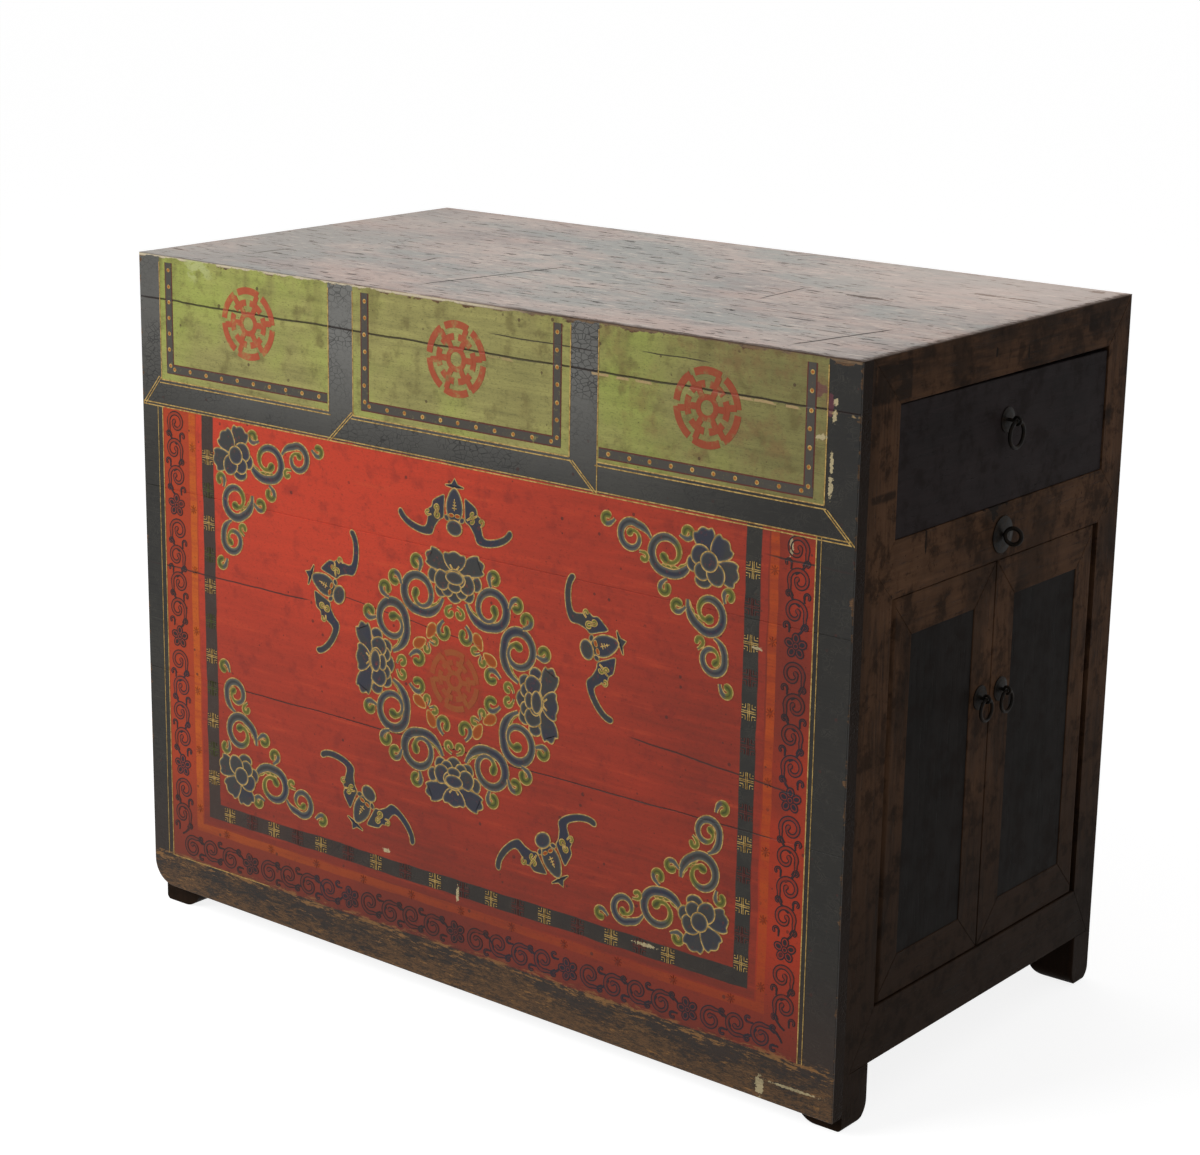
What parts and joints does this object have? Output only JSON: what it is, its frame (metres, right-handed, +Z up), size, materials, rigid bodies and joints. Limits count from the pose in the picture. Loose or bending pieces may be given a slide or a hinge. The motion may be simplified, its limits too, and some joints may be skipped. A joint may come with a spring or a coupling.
{
  "type": "painted cabinet",
  "caption": "Free-standing wooden cabinet with a painted long front, and a drawer over a pair of doors in one end.",
  "frame": {"origin": "on the floor, under the middle of the whole bounding box", "axes": "+X along the painted front towards the end with the drawer and doors, +Y from the painted front to the back, +Z up"},
  "size_m": [1.0752, 0.57, 0.85],
  "materials": {
    "painted_front": "red, green and black lacquer paint, crackled and worn",
    "top_wood": "worn brown lacquer, rubbed pale",
    "case_wood": "dark brown stain, rubbed and waxed",
    "panel_wood": "nearly black stain over open grain",
    "inner_wood": "unfinished, darkened with age",
    "iron": "forged, dark brown patina"
  },
  "bodies": {
    "carcass": {"top_board_1": "top_wood", "top_board_2": "top_wood", "top_board_3": "top_wood", "top_battens": "inner_wood", "back_board_1": "inner_wood", "back_board_2": "inner_wood", "back_board_3": "inner_wood", "front_board_1": "painted_front", "front_board_2": "painted_front", "front_board_3": "painted_front", "front_board_4": "painted_front", "floor_boards": "inner_wood", "floor_ledgers": "inner_wood", "floor_bearers": "inner_wood", "left_lower_panel": "panel_wood", "left_upper_panel": "panel_wood", "left_front_post": "case_wood", "left_back_post": "case_wood", "right_front_post": "case_wood", "right_back_post": "case_wood", "left_top_rail": "case_wood", "left_mid_rail": "case_wood", "left_apron": "case_wood", "right_top_rail": "case_wood", "right_mid_rail": "case_wood", "right_apron": "case_wood", "left_runner": "inner_wood", "right_runner": "inner_wood", "left_guide": "inner_wood", "right_guide": "inner_wood", "kickers": "inner_wood", "drawer_stops": "inner_wood", "door_stop": "inner_wood", "lock_plate": "iron", "lock_eye": "iron"},
    "drawer": {"drawer_front": "panel_wood", "drawer_left_side": "inner_wood", "drawer_right_side": "inner_wood", "drawer_back": "inner_wood", "drawer_bottom": "inner_wood", "drawer_pull_plate": "iron", "drawer_staple": "iron"},
    "left_door": {"left_door_panel": "panel_wood", "left_door_hinge_stile": "case_wood", "left_door_meeting_stile": "case_wood", "left_door_top_rail": "case_wood", "left_door_bottom_rail": "case_wood", "left_door_pull_plate": "iron", "left_door_staple": "iron"},
    "right_door": {"right_door_panel": "panel_wood", "right_door_hinge_stile": "case_wood", "right_door_meeting_stile": "case_wood", "right_door_top_rail": "case_wood", "right_door_bottom_rail": "case_wood", "right_door_pull_plate": "iron", "right_door_staple": "iron"},
    "drawer_ring": {"drawer_ring": "iron"},
    "left_door_ring": {"left_door_ring": "iron"},
    "right_door_ring": {"right_door_ring": "iron"}
  },
  "joints": [
    {"name": "drawer_slide", "type": "slide", "parent": "carcass", "child": "drawer", "axis": [1, 0, 0], "range_m": [0, 0.45]},
    {"name": "left_door_hinge", "type": "hinge", "parent": "carcass", "child": "left_door", "pos_m": [0.49989, -0.1975, 0.3585], "axis": [0, 0, -1], "range_deg": [0, 95]},
    {"name": "right_door_hinge", "type": "hinge", "parent": "carcass", "child": "right_door", "pos_m": [0.49989, 0.2235, 0.3585], "axis": [0, 0, 1], "range_deg": [0, 95]},
    {"name": "drawer_ring_swing", "type": "hinge", "parent": "drawer", "child": "drawer_ring", "pos_m": [0.52338, 0.013, 0.7447], "axis": [0, -1, 0], "range_deg": [-15, 110]},
    {"name": "left_door_ring_swing", "type": "hinge", "parent": "left_door", "child": "left_door_ring", "pos_m": [0.52038, -0.01475, 0.4337], "axis": [0, -1, 0], "range_deg": [-15, 110]},
    {"name": "right_door_ring_swing", "type": "hinge", "parent": "right_door", "child": "right_door_ring", "pos_m": [0.52038, 0.02975, 0.4337], "axis": [0, -1, 0], "range_deg": [-15, 110]}
  ]
}
